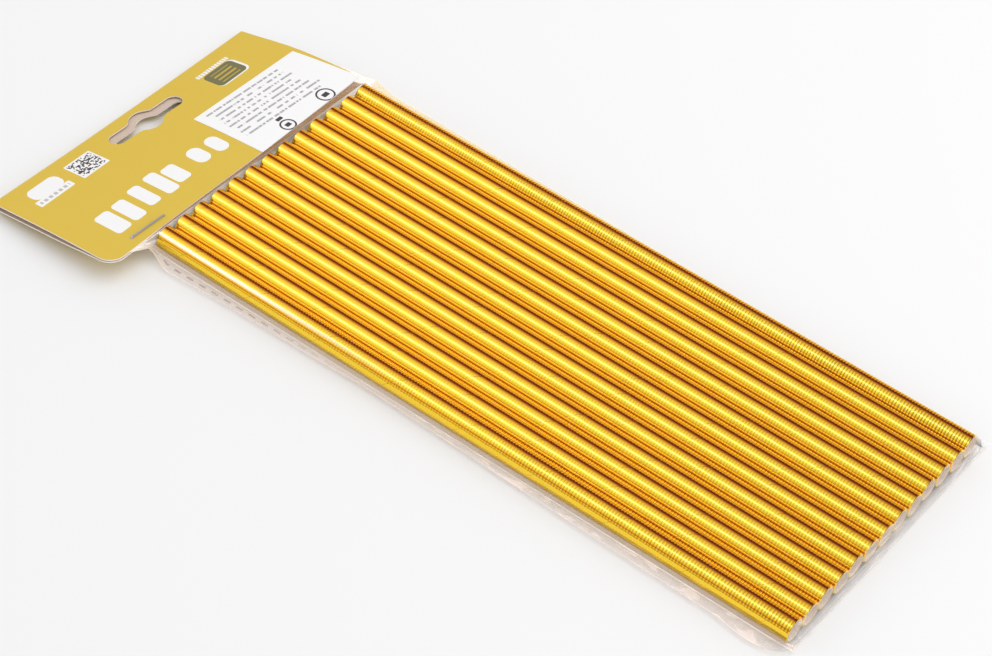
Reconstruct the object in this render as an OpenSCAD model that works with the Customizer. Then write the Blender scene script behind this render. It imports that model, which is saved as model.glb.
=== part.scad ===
// Hanging pack of foil paper drinking straws: one layer of straws in a clear film bag, closed by a folded
// header card that is stapled over the mouth of the bag.
// +X runs along the straws away from the card, +Y across the layer, +Z up; the pack lies on Z = 0.

/* [Straws] */
// Outside diameter of a straw
straw_d = 6.5; // [6:0.1:6.8]
// Length of a straw
straw_l = 195; // [150:5:210]
// Thickness of the wound paper wall
straw_wall = 0.45; // [0.3:0.05:0.6]
// How far the straws lie out of line with one another along the pack
straw_stagger = 0.3; // [0:0.1:0.5]

/* [Bag] */
// Thickness of the film
film_t = 0.08; // [0.06:0.01:0.12]
// Room between the film and the straws, and between one straw and the next
slack = 0.02; // [0.02:0.01:0.04]
// How far the closed end of the bag stands beyond the straws
bag_end = 2.2; // [1.5:0.1:4]
// Width of the welded edges at the closed end of the bag
weld_w = 2.4; // [1.5:0.1:4]
// Extra width of the welded edges towards the mouth of the bag
weld_flare = 1.4; // [0:0.1:2]
// Depth of film held inside the card
mouth_depth = 12; // [8:1:16]

/* [Header card] */
// Length of the card along its fold
card_l = 100; // [97:1:104]
// Depth of the folded card, from its open edges to its fold
card_w = 41; // [39:0.5:46]
// Thickness of the card
card_t = 0.35; // [0.25:0.05:0.4]
// Gap between the two panels at their open edges
gap_open = 0.24; // [0.24:0.02:0.3]
// Gap between the two panels at the fold
gap_fold = 0.44; // [0.3:0.02:0.5]
// Radius of the card's two free corners
corner_r = 4.5; // [2:0.5:8]

/* [Hang slot] */
// Length of the slot
slot_l = 26.6; // [22:0.2:32]
// Height of the slot's two arms
slot_h = 5; // [4.2:0.2:6]
// Diameter of the round in the middle of the slot
slot_round_d = 9.4; // [8:0.2:10]
// Distance from the fold to the middle of the slot
slot_from_fold = 7.2; // [6.4:0.2:9]

/* [Staple and sticker] */
// Width of the staple's crown
staple_w = 12.5; // [11:0.5:13]
// Distance from the card's open edges to the staple
staple_from_edge = 3; // [2.5:0.5:5]
// Length of the sticker along the card
sticker_l = 41.5; // [30:0.5:44]
// Depth of the sticker across the card
sticker_w = 24; // [16:0.5:26]
// Thickness of the sticker
sticker_t = 0.1; // [0.08:0.02:0.2]

/* [Hidden] */
$fn = 64;

foil_gold = "goldenrod";
card_ochre = [0.86, 0.73, 0.31];

// Place of each straw along the pack, front to back, as a share of the stagger
stagger_of = [0.2, 0.9, 0.3, 0.7, 0.1, 0.6, 1, 0.4, 0.8, 0, 0.5, 0.9, 0.3];
straw_count = len(stagger_of);
pitch = straw_d + slack;
outer_y = (straw_count - 1) / 2 * pitch;
straw_z = film_t + slack + straw_d / 2;
straw_end = (straw_l + straw_stagger) / 2 + slack;

// The bag's section: a flat stadium round the straws with a weld low on each side
cavity_top = film_t + straw_d + 2 * slack;
bag_top = cavity_top + film_t;
flat_beyond = 1.5;
weld_t = 2 * film_t;
weld_root = [outer_y + straw_d / 2 + 0.65, 0.9];
weld_tip_z = 0.75;
inner_root_step = [-0.35, 0.04];
arc_steps = 8;

// The bag's closed end, where the top comes down to a fold just above the surface
end_steps = [0, 0.35, 0.6, 0.8, 0.92, 1];
end_fold_low = 1.4;
end_fold_high = 1.6;
end_lift = 0.6;

// The welds rise from the surface to the mouth of the bag: where, and what share of the way they have gone
rise_x = [-84, -88, -92.5, -straw_end];
rise_share = [0, 0.1, 0.4, 0.8];
mouth_root_z = 2.5;
mouth_tip_z = 5.4;
near_root_shift = 3.4;
near_tip_shift = 4.8;
far_tip_shift = -1.5;

// The card lies tilted: its fold rests just above the surface, its open edges at the top of the straws
card_edge_z = 6.4;
card_fold_z = 1.36;
card_at = [-straw_end - 1.6, -8.3, card_edge_z];
card_yaw = 1.7;
card_pitch = -asin((card_edge_z - card_fold_z) / card_w);
card_roll = 0;
fold_r = (2 * card_t + gap_fold) / 2;
fold_v = card_w - fold_r;
slot_at = [1, card_w - slot_from_fold];
slot_blend_r = 3;
corner_steps = 8;
past = 1;

// The film between the panels: its height, its ends along the card, and how far before the open edges its
// outside and its inside lie flat
mouth_n = -card_t - gap_open / 2;
mouth_near = -43.5;
mouth_far = 51;
mouth_lead = 0.12;
inner_mouth_lead = 0.28;
inner_mouth_inset = 3;
inner_half_t = 0.02;
outer_half_t = inner_half_t + film_t;

// The staple's flat wire
staple_u = -33.4;
wire_w = 0.5;
wire_t = 0.4;
bend_r = 0.5;
leg_clearance = 0.1;
hook_l = 4.6;
seat = 0.01;

function mix(a, b, t) = a + (b - a) * t;
function gap_at(v) = mix(gap_open, gap_fold, v / fold_v);
function stack_at(v) = 2 * card_t + gap_at(v);

function turn_x(p, a) = [p[0], p[1] * cos(a) - p[2] * sin(a), p[1] * sin(a) + p[2] * cos(a)];
function turn_y(p, a) = [p[0] * cos(a) + p[2] * sin(a), p[1], p[2] * cos(a) - p[0] * sin(a)];
function turn_z(p, a) = [p[0] * cos(a) - p[1] * sin(a), p[0] * sin(a) + p[1] * cos(a), p[2]];

// A point of the card's own frame, given by its depth v from the open edges, its place u along the card and
// its height n above the front panel
function card_point(v, u, n) = card_at + turn_x(turn_y(turn_z([-v, u, n], card_yaw), card_pitch), card_roll);

// Places its children in the card's own frame: X is minus the depth, Y the place along the card
module on_card() {
    translate(card_at) rotate([card_roll, 0, 0]) rotate([0, card_pitch, 0]) rotate([0, 0, card_yaw]) children();
}

module straw(index) {
    shift = (stagger_of[index] - 0.5) * straw_stagger;
    color(foil_gold)
    translate([shift - straw_l / 2, index * pitch - outer_y, straw_z])
    rotate([0, 90, 0])
    difference() {
        cylinder(d = straw_d, h = straw_l);
        translate([0, 0, -past]) cylinder(d = straw_d - 2 * straw_wall, h = straw_l + 2 * past);
    }
}

// The bag's sections are lists of [y, z] in two chains: one along the underside from the near weld to the far
// one, and one back over the top

function side_arc(low, high) = [
    for (i = [0 : arc_steps])
        let (a = 90 * i / arc_steps, r = (high - low) / 2)
            [outer_y + r * cos(a), (low + high) / 2 + r * sin(a)]
];

function near_side(points) = [for (i = [len(points) - 1 : -1 : 0]) [-points[i][0], points[i][1]]];

// Root and tip of a weld where it has gone a share of its way to the mouth
function near_weld(flare, share) = [
    [weld_root[0] + near_root_shift * share, mix(weld_root[1], mouth_root_z, share)],
    [weld_root[0] + weld_w + flare + near_tip_shift * share, mix(weld_tip_z, mouth_tip_z, share)]
];
function far_weld(flare, share) = [
    [weld_root[0], mix(weld_root[1], mouth_root_z, share)],
    [weld_root[0] + weld_w + flare + far_tip_shift * share, mix(weld_tip_z, mouth_tip_z, share)]
];

function outer_under(low, near, far) = concat(
    near_side([[outer_y + flat_beyond, low], near[0], near[1]]),
    [[outer_y + flat_beyond, low], far[0], far[1]]
);
function outer_over(low, high, near, far) = concat(
    [far[1] + [0, weld_t], far[0] + [0, weld_t]],
    side_arc(low, high),
    near_side(concat([near[1] + [0, weld_t], near[0] + [0, weld_t]], side_arc(low, high)))
);
function inner_under(low, near, far) = concat(
    near_side([[outer_y + flat_beyond, low], near[0] + inner_root_step]),
    [[outer_y + flat_beyond, low], far[0] + inner_root_step]
);
function inner_over(low, high) = concat(side_arc(low, high), near_side(side_arc(low, high)));

function ring_at(x, under, over) = [for (p = concat(under, over)) [x, p[0], p[1]]];

// A section pressed flat between the panels at depth v, spread from near to far along the card
function flat_ring(v, under, over, half_t, near, far) =
    let (widest = max([for (p = concat(under, over)) abs(p[0])]))
        [
            for (p = under) card_point(v, mix(near, far, 0.5 + p[0] / widest / 2), mouth_n - half_t),
            for (p = over) card_point(v, mix(near, far, 0.5 + p[0] / widest / 2), mouth_n + half_t)
        ];

// Underside and top of the closed end, s being the share of its length
function end_low(s) = end_fold_low * pow(s, 4);
function end_high(s) = end_fold_high + (bag_top - end_fold_high) * sqrt(1 - s * s);

function outer_rings() = concat(
    [
        for (i = [len(end_steps) - 1 : -1 : 0])
            let (s = end_steps[i], w = near_weld(0, 0), lifted = [w[0] + [0, end_lift * s], w[1] + [0, end_lift * s]])
                ring_at(
                    straw_end + bag_end * s,
                    outer_under(end_low(s), lifted, lifted),
                    outer_over(end_low(s), end_high(s), lifted, lifted)
                )
    ],
    [
        for (i = [0 : len(rise_share) - 1])
            let (near = near_weld(weld_flare, rise_share[i]), far = far_weld(weld_flare, rise_share[i]))
                ring_at(rise_x[i] - film_t, outer_under(0, near, far), outer_over(0, bag_top, near, far))
    ],
    [
        for (v = [-mouth_lead, mouth_depth])
            let (w = near_weld(weld_flare, 0))
                flat_ring(v, outer_under(0, w, w), outer_over(0, bag_top, w, w), outer_half_t, mouth_near, mouth_far)
    ]
);

// The inside runs back from the mouth to the closed end
function inner_rings() = concat(
    [
        for (v = [mouth_depth, -inner_mouth_lead])
            let (w = near_weld(weld_flare, 0))
                flat_ring(
                    v,
                    inner_under(film_t, w, w),
                    inner_over(film_t, cavity_top),
                    inner_half_t,
                    mouth_near + inner_mouth_inset,
                    mouth_far - inner_mouth_inset
                )
    ],
    [
        for (i = [len(rise_share) - 1 : -1 : 0])
            let (near = near_weld(weld_flare, rise_share[i]), far = far_weld(weld_flare, rise_share[i]))
                ring_at(rise_x[i], inner_under(film_t, near, far), inner_over(film_t, cavity_top))
    ],
    [
        for (i = [0 : len(end_steps) - 2])
            let (s = end_steps[i], w = near_weld(0, 0), low = end_low(s) + film_t, high = end_high(s) - film_t)
                let (lifted = [w[0] + [0, end_lift * s], w[1]])
                    ring_at(
                        straw_end + (bag_end - film_t) * s,
                        inner_under(low, lifted, lifted),
                        inner_over(low, high)
                    )
    ]
);

// Two triangles, or one where the second pair of points is one point
function patch(a, b, a2, b2) = a2 == b2 ? [[a, b, b2]] : [[a, b, b2], [a, b2, a2]];

// Walls between rings that follow one another in the list of points. The inside's run the other way, so their
// triangles are split the other way too, to lie along the outside's.
function walls(start, rings, inner = false) = [
    for (r = [0 : len(rings) - 2])
        let (n = len(rings[0]), at = start + r * n)
            for (i = [0 : n - 1])
                let (j = (i + 1) % n)
                    each (
                        inner ? [[at + i, at + j, at + n + i], [at + j, at + n + j, at + n + i]]
                        : patch(at + i, at + j, at + n + i, at + n + j)
                    )
];

// A closed end in level strips, each between two points on the near side and two on the far side
function strips(start, near, far) = [
    for (k = [0 : len(near) - 2])
        each patch(start + near[k + 1], start + near[k], start + far[k + 1], start + far[k])
];

function turned(faces) = [for (f = faces) [for (i = [len(f) - 1 : -1 : 0]) f[i]]];

// The film as one skin: the outside from the closed end to the open mouth, then the inside back again
module film_skin(outside, inside) {
    n = len(outside[0]);
    arcs = 2 * arc_steps + 2;
    mouth = (len(outside) - 1) * n;
    back = len(outside) * n;
    closed = back + (len(inside) - 1) * len(inside[0]);
    inner_of = concat([0, 0, 1, 2, 3, 3, 3, 3], [for (i = [4 : arcs + 3]) i], [0, 0]);
    lip = [
        for (i = [0 : n - 1])
            let (j = (i + 1) % n)
                each patch(mouth + i, mouth + j, back + inner_of[i], back + inner_of[j])
    ];
    outer_end = concat(
        patch(0, 1, n - 1, n - 2),
        patch(5, 6, 4, 7),
        strips(
            0,
            concat([2, 1, n - 2], [for (i = [0 : arc_steps]) n - 3 - i]),
            concat([3, 4, 7], [for (i = [0 : arc_steps]) 8 + i])
        )
    );
    inner_end = strips(
        closed,
        concat([1, 0], [for (i = [0 : arc_steps]) arcs + 3 - i]),
        concat([2, 3], [for (i = [0 : arc_steps]) 4 + i])
    );
    polyhedron(
        points = [for (ring = concat(outside, inside)) each ring],
        faces = concat(turned(outer_end), walls(0, outside), lip, walls(back, inside, true), inner_end)
    );
}

module bag_film() {
    color([0.95, 0.95, 0.93, 0.35])
    difference() {
        film_skin(outer_rings(), inner_rings());
        on_card() staple_holes();
    }
}

// The folded card seen from its end: two panels that close in towards their open edges
module card_section() {
    difference() {
        union() {
            polygon([[0, 0], [-fold_v, 0], [-fold_v, -2 * fold_r], [0, -stack_at(0)]]);
            translate([-fold_v, -fold_r]) circle(fold_r);
        }
        polygon([
            [past, -card_t],
            [-fold_v, -card_t],
            [-fold_v, -card_t - gap_fold],
            [past, -card_t - gap_at(-past)]
        ]);
        translate([-fold_v, -fold_r]) circle(gap_fold / 2);
    }
}

function arc(centre, r, from, to) = [
    for (i = [0 : corner_steps])
        let (a = mix(from, to, i / corner_steps)) centre + r * [cos(a), sin(a)]
];

// What is cut off a free corner of the card
module free_corner() {
    polygon(concat([[past, -corner_r], [past, past], [-corner_r, past]], arc([-corner_r, -corner_r], corner_r, 90, 0)));
}

// A straight slot with a round in its middle, blended where they meet
module hang_slot() {
    arm = slot_h / 2;
    reach = slot_l / 2 - arm;
    round_r = slot_round_d / 2;
    blend_y = arm + slot_blend_r;
    blend_x = sqrt(pow(round_r + slot_blend_r, 2) - pow(blend_y, 2));
    meets = atan2(blend_y, blend_x);
    quarter = concat(
        arc([reach, 0], arm, 0, 90),
        arc([blend_x, blend_y], slot_blend_r, 270, 180 + meets),
        [for (i = [1 : corner_steps]) round_r * [cos(mix(meets, 90, i / corner_steps)), sin(mix(meets, 90, i / corner_steps))]]
    );
    n = len(quarter);
    polygon(concat(
        quarter,
        [for (i = [n - 2 : -1 : 0]) [-quarter[i][0], quarter[i][1]]],
        [for (i = [1 : n - 1]) -quarter[i]],
        [for (i = [n - 2 : -1 : 1]) [quarter[i][0], -quarter[i][1]]]
    ));
}

module header_card() {
    color(card_ochre)
    on_card()
    difference() {
        translate([0, card_l / 2, 0]) rotate([90, 0, 0]) linear_extrude(card_l) card_section();
        translate([0, 0, -2 * fold_r - past]) linear_extrude(2 * fold_r + 2 * past) {
            translate([0, card_l / 2]) free_corner();
            translate([0, -card_l / 2]) mirror([0, 1]) free_corner();
            translate([-slot_at[1], slot_at[0]]) rotate(90) hang_slot();
        }
        staple_holes();
    }
}

module sticker_label() {
    color("white")
    on_card()
    translate([-sticker_w, card_l / 2 - sticker_l, 0])
    cube([sticker_w, sticker_l, sticker_t]);
}

// A flat wire closed round the card: crown on the front panel, legs through both, ends folded in behind
module staple_outline() {
    top = seat + wire_t;
    bottom = -stack_at(staple_from_edge) - seat - wire_t;
    difference() {
        rounded_frame(staple_w, bottom, top, bend_r);
        rounded_frame(staple_w - 2 * wire_t, bottom + wire_t, top - wire_t, bend_r - wire_t);
        translate([hook_l - staple_w / 2, bottom - past]) square([staple_w - 2 * hook_l, past + wire_t + seat]);
    }
}

module rounded_frame(width, bottom, top, r) {
    translate([-width / 2 + r, bottom]) square([width - 2 * r, top - bottom]);
    translate([-width / 2, bottom + r]) square([width, top - bottom - 2 * r]);
    for (x = [-width / 2 + r, width / 2 - r], y = [bottom + r, top - r]) translate([x, y]) circle(r);
}

module staple() {
    color("silver")
    on_card()
    translate([-staple_from_edge - wire_w / 2, staple_u, 0])
    rotate([90, 0, 90])
    linear_extrude(wire_w) staple_outline();
}

module staple_holes() {
    hole_w = wire_w + 2 * leg_clearance;
    hole_l = wire_t + 2 * leg_clearance;
    for (side = [-1, 1])
        translate([-staple_from_edge, staple_u + side * (staple_w - wire_t) / 2, -fold_r])
        cube([hole_w, hole_l, 2 * fold_r + 2 * past], center = true);
}

straw(0);  // straw_01
straw(1);  // straw_02
straw(2);  // straw_03
straw(3);  // straw_04
straw(4);  // straw_05
straw(5);  // straw_06
straw(6);  // straw_07
straw(7);  // straw_08
straw(8);  // straw_09
straw(9);  // straw_10
straw(10);  // straw_11
straw(11);  // straw_12
straw(12);  // straw_13
bag_film();
header_card();
sticker_label();
staple();
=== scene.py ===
"""Hanging pack of foil paper drinking straws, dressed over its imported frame.

A layer of spiral-wound straws lies in a clear film bag. A folded header card with a hang slot is stapled over
the mouth of the bag. Lengths are in millimetres until a mesh is finished, and in metres where a name ends in
_m. The frame is the CAD's: +X along the straws away from the card, +Y across the layer, +Z up.
"""
from __future__ import annotations

import logging
import math
from collections.abc import Iterable, Sequence
from dataclasses import dataclass, field
from enum import Enum
from typing import Any

import bmesh
import bpy
from mathutils import Matrix, Vector, noise


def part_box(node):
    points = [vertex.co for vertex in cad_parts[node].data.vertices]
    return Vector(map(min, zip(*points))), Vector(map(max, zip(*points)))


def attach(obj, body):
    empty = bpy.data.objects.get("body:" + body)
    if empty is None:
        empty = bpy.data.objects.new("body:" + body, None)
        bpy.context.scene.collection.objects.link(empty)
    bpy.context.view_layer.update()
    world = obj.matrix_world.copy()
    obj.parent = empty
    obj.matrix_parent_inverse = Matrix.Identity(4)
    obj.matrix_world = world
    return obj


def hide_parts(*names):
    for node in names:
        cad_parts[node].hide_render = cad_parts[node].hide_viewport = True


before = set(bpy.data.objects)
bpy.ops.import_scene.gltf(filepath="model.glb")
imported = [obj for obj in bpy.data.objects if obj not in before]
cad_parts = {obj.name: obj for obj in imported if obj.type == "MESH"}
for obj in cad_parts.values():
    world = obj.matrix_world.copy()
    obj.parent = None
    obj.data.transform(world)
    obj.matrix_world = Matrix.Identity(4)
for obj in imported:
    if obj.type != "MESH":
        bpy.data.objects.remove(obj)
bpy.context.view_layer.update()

MM = 0.001
SHARP_ANGLE = math.radians(35)
LOG = logging.getLogger("straw_pack")
Colour = tuple[float, float, float, float]
Point = tuple[float, float]
Place = tuple[float, float, float]
# The two ends of a smooth step, and the middle, half width and fade of a band
Span = tuple[float, float]
Band = tuple[float, float, float]


def mix(low: float, high: float, share: float) -> float:
    """Returns the value a share of the way from low to high."""
    return low + (high - low) * share


def ease(value: float, low: float, high: float) -> float:
    """Returns 0 below low, 1 above high and a smooth step between.

    Args:
        value: The number to map.
        low: Where the step starts.
        high: Where the step ends.

    Returns:
        The eased share.
    """
    share = min(1.0, max(0.0, (value - low) / (high - low)))
    return share * share * (3.0 - 2.0 * share)


class Body(Enum):
    """Rigid bodies of the frame."""

    PACK = "root"


class Slot(Enum):
    """Material slots of the record."""

    STRAW = "foil_straw"
    FILM = "clear_film"
    CARD = "header_card"
    LABEL = "sticker_label"
    STAPLE = "staple"


@dataclass(frozen=True)
class Term:
    """A number socket that takes part in arithmetic."""

    kit: NodeKit
    socket: bpy.types.NodeSocket

    def math(self, operation: str, *others: float | Term) -> Term:
        """Adds a Math node on this term.

        Args:
            operation: The node's operation.
            others: Its further operands.

        Returns:
            The result.
        """
        return self.kit.maths(operation, self, *others)

    def __add__(self, other: float | Term) -> Term:
        """Returns the sum."""
        return self.math("ADD", other)

    def __radd__(self, other: float) -> Term:
        """Returns the sum."""
        return self.math("ADD", other)

    def __sub__(self, other: float | Term) -> Term:
        """Returns the difference."""
        return self.math("SUBTRACT", other)

    def __rsub__(self, other: float) -> Term:
        """Returns the other number less this one."""
        return self.kit.maths("SUBTRACT", other, self)

    def __mul__(self, other: float | Term) -> Term:
        """Returns the product."""
        return self.math("MULTIPLY", other)

    def __rmul__(self, other: float) -> Term:
        """Returns the product."""
        return self.math("MULTIPLY", other)

    def __truediv__(self, other: float | Term) -> Term:
        """Returns the quotient."""
        return self.math("DIVIDE", other)

    def __abs__(self) -> Term:
        """Returns the size without its sign."""
        return self.math("ABSOLUTE")

    def __or__(self, other: float | Term) -> Term:
        """Returns the larger of two masks."""
        return self.math("MAXIMUM", other)

    def __and__(self, other: float | Term) -> Term:
        """Returns the smaller of two masks."""
        return self.math("MINIMUM", other)

    def fraction(self) -> Term:
        """Returns what is past the last whole number."""
        return self.math("FRACT")

    def floor(self) -> Term:
        """Returns the last whole number."""
        return self.math("FLOOR")

    def sine(self) -> Term:
        """Returns the sine."""
        return self.math("SINE")

    def step(self, low: float, high: float) -> Term:
        """Returns a smooth step, which runs downwards where low is above high.

        Args:
            low: Where the step is 0.
            high: Where the step is 1.

        Returns:
            The share.
        """
        node = self.kit.add(
            "ShaderNodeMapRange",
            {"interpolation_type": "SMOOTHSTEP", "clamp": True},
            {"Value": self, "From Min": min(low, high), "From Max": max(low, high),
             "To Min": 0.0 if low < high else 1.0, "To Max": 1.0 if low < high else 0.0},
        )
        return Term(self.kit, node.outputs["Result"])

    def band(self, centre: float, half: float, soft: float) -> Term:
        """Returns 1 within half of centre, fading over soft.

        Args:
            centre: Middle of the band.
            half: Half its width.
            soft: Width of the fade.

        Returns:
            The mask.
        """
        return abs(self - centre).step(half + soft / 2, half - soft / 2)

    def dashes(self, per_mm: float, half: float, soft: float = 0.1) -> Term:
        """Returns evenly spaced bands.

        Args:
            per_mm: How many there are in a millimetre.
            half: Half the width of one, as a share of their spacing.
            soft: Width of the fade, as such a share.

        Returns:
            The mask.
        """
        return (self * per_mm).fraction().band(0.5, half, soft)


class NodeKit:
    """Adds nodes to one node tree."""

    def __init__(self, tree: bpy.types.NodeTree) -> None:
        """Takes a tree and empties it."""
        self.tree = tree
        tree.nodes.clear()

    def add(
        self, kind: str, settings: dict[str, Any] | None = None, values: dict[Any, Any] | None = None,
    ) -> Any:
        """Adds a node.

        Args:
            kind: The node's type.
            settings: Its properties, set first; "stops" holds a ramp's places and colours.
            values: What its sockets take: a number, a colour, a socket or a term.

        Returns:
            The node.
        """
        node = self.tree.nodes.new(kind)
        for name, value in (settings or {}).items():
            if name == "stops":
                ramp = node.color_ramp
                while len(ramp.elements) < len(value):
                    ramp.elements.new(0.5)
                for element, (place, colour) in zip(ramp.elements, value):
                    element.position = place
                    element.color = colour
            else:
                setattr(node, name, value)
        for name, value in (values or {}).items():
            self.feed(node.inputs[name], value)
        return node

    def feed(self, socket: bpy.types.NodeSocket, value: Any) -> None:
        """Links or sets one input.

        Args:
            socket: The input.
            value: A term, an output socket or a plain value.
        """
        if isinstance(value, Term):
            self.tree.links.new(value.socket, socket)
        elif isinstance(value, bpy.types.NodeSocket):
            self.tree.links.new(value, socket)
        else:
            socket.default_value = value

    def maths(self, operation: str, *operands: float | Term) -> Term:
        """Adds a Math node.

        Args:
            operation: The node's operation.
            operands: Its inputs in order.

        Returns:
            The result.
        """
        node = self.add("ShaderNodeMath", {"operation": operation}, dict(enumerate(operands)))
        return Term(self, node.outputs["Value"])

    def axes(self, vector: bpy.types.NodeSocket) -> tuple[Term, Term, Term]:
        """Returns the three numbers of a vector socket."""
        node = self.add("ShaderNodeSeparateXYZ", None, {"Vector": vector})
        return Term(self, node.outputs["X"]), Term(self, node.outputs["Y"]), Term(self, node.outputs["Z"])

    def vector(self, x: float | Term, y: float | Term, z: float | Term = 0.0) -> bpy.types.NodeSocket:
        """Returns three numbers as a vector socket."""
        return self.add("ShaderNodeCombineXYZ", None, {"X": x, "Y": y, "Z": z}).outputs["Vector"]

    def place(self) -> bpy.types.NodeSocket:
        """Returns Object coordinates."""
        return self.add("ShaderNodeTexCoord").outputs["Object"]

    def sheet(self) -> tuple[Term, Term]:
        """Returns the piece's own UV map as two numbers in millimetres."""
        u, v, _ = self.axes(self.add("ShaderNodeUVMap", {"uv_map": "sheet"}).outputs["UV"])
        return u * (1 / MM), v * (1 / MM)

    def grain(self, vector: bpy.types.NodeSocket, scale: float, detail: float = 2.0) -> Term:
        """Adds a noise texture.

        Args:
            vector: Where it is read.
            scale: Its scale.
            detail: Its octaves.

        Returns:
            The noise, around 0.5.
        """
        node = self.add("ShaderNodeTexNoise", None, {"Vector": vector, "Scale": scale, "Detail": detail})
        return Term(self, node.outputs["Fac"])

    def blend(self, share: float | Term, low: Any, high: Any) -> bpy.types.NodeSocket:
        """Mixes two colours.

        Args:
            share: How much of the second.
            low: First colour.
            high: Second colour.

        Returns:
            The mixed colour.
        """
        node = self.add("ShaderNodeMix", {"data_type": "RGBA"}, {0: share, 6: low, 7: high})
        return node.outputs[2]

    def bump(self, height: Term, strength: float, distance: float) -> bpy.types.NodeSocket:
        """Turns a height into a normal.

        Args:
            height: The height, as a share of the distance.
            strength: How strongly it shows.
            distance: Its depth in metres.

        Returns:
            The normal.
        """
        values = {"Height": height, "Strength": strength, "Distance": distance}
        return self.add("ShaderNodeBump", None, values).outputs["Normal"]

    def surface(self, values: dict[str, Any]) -> None:
        """Ends the tree in a Principled surface.

        Args:
            values: What its sockets take.
        """
        shader = self.add("ShaderNodeBsdfPrincipled", None, values)
        self.add("ShaderNodeOutputMaterial", None, {"Surface": shader.outputs["BSDF"]})


def material(name: str) -> tuple[bpy.types.Material, NodeKit]:
    """Makes an empty material.

    Args:
        name: Its name.
    """
    made = bpy.data.materials.new(name)
    made.use_nodes = True
    return made, NodeKit(made.node_tree)


@dataclass(frozen=True)
class FoilFinish:
    """Gold foil on wound paper: fine ribs across the straw, and a spiral seam placed in shares of a turn."""

    gold: Colour = (0.98, 0.65, 0.022, 1.0)
    seam: Colour = (0.40, 0.14, 0.01, 1.0)
    seam_tint: float = 0.45
    seam_lead: float = 22.5
    seam_band: Band = (0.5, 0.0035, 0.003)
    seam_height: float = -0.7
    seam_jag: float = 0.02
    overlap_band: Band = (0.53, 0.02, 0.03)
    overlap_height: float = 0.8
    round_mm: float = 20.42
    rib_pitch: float = 0.85
    rib_depth: float = 0.85
    rib_wobble: float = 0.7
    rib_jag: float = 0.15
    smooth_to: float = -60.0
    ribbed_from: float = 30.0
    # What a rib's depth is made of: everywhere, along the ribbed part and in strong patches
    least_depth: float = 0.25
    ribbed_depth: float = 0.6
    strong_depth: float = 0.4
    strong_step: Span = (0.35, 0.62)
    streak_height: float = 0.6
    roughness: float = 0.07
    roughness_spread: float = 0.04
    coat: float = 0.5
    coat_roughness: float = 0.03
    relief: float = 0.35
    relief_m: float = 0.00003
    name: str = "gold_foil"

    def make(self) -> bpy.types.Material:
        """Returns the material, on a UV map of the way round and the way along."""
        made, kit = material(self.name)
        u, v = kit.sheet()
        flat = kit.vector(v, u)
        along = kit.vector(v, u * 0.15)
        jag = kit.grain(flat, 1.4, 3.0) * self.seam_jag
        turn = (u / self.round_mm + v / self.seam_lead + jag).fraction()
        seam = turn.band(*self.seam_band)
        overlap = turn.band(*self.overlap_band)
        shifted = v + kit.grain(along, 0.35) * self.rib_wobble + kit.grain(flat, 2.0) * self.rib_jag
        ribs = (shifted * (math.tau / self.rib_pitch)).sine()
        strong = kit.grain(kit.vector(v, u * 0.4, 3.0), 0.06).step(*self.strong_step)
        ribbed = v.step(self.smooth_to, self.ribbed_from)
        depth = (ribbed * self.ribbed_depth + strong * self.strong_depth + self.least_depth) * self.rib_depth
        streaks = kit.grain(along, 1.6) * self.streak_height
        height = ribs * depth + seam * self.seam_height + overlap * self.overlap_height + streaks
        kit.surface({
            "Base Color": kit.blend(seam * self.seam_tint, self.gold, self.seam),
            "Metallic": 1.0,
            "Roughness": kit.grain(along, 0.5) * self.roughness_spread + self.roughness,
            "Coat Weight": self.coat,
            "Coat Roughness": self.coat_roughness,
            "Normal": kit.bump(height, self.relief, self.relief_m),
        })
        return made


@dataclass(frozen=True)
class PaperFinish:
    """Uncoated paper, as on a cut edge or inside a straw."""

    name: str
    colour: Colour
    fleck: Colour
    fibre_scale: float = 2600.0
    fleck_step: Span = (0.35, 0.7)
    roughness: float = 0.6
    roughness_spread: float = 0.2
    relief: float = 0.3
    relief_m: float = 0.00004

    def make(self) -> bpy.types.Material:
        """Returns the material, with fibres in Object coordinates."""
        made, kit = material(self.name)
        fibres = kit.grain(kit.place(), self.fibre_scale, 4.0)
        kit.surface({
            "Base Color": kit.blend(fibres.step(*self.fleck_step), self.colour, self.fleck),
            "Roughness": fibres * self.roughness_spread + self.roughness,
            "Normal": kit.bump(fibres, self.relief, self.relief_m),
        })
        return made


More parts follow.
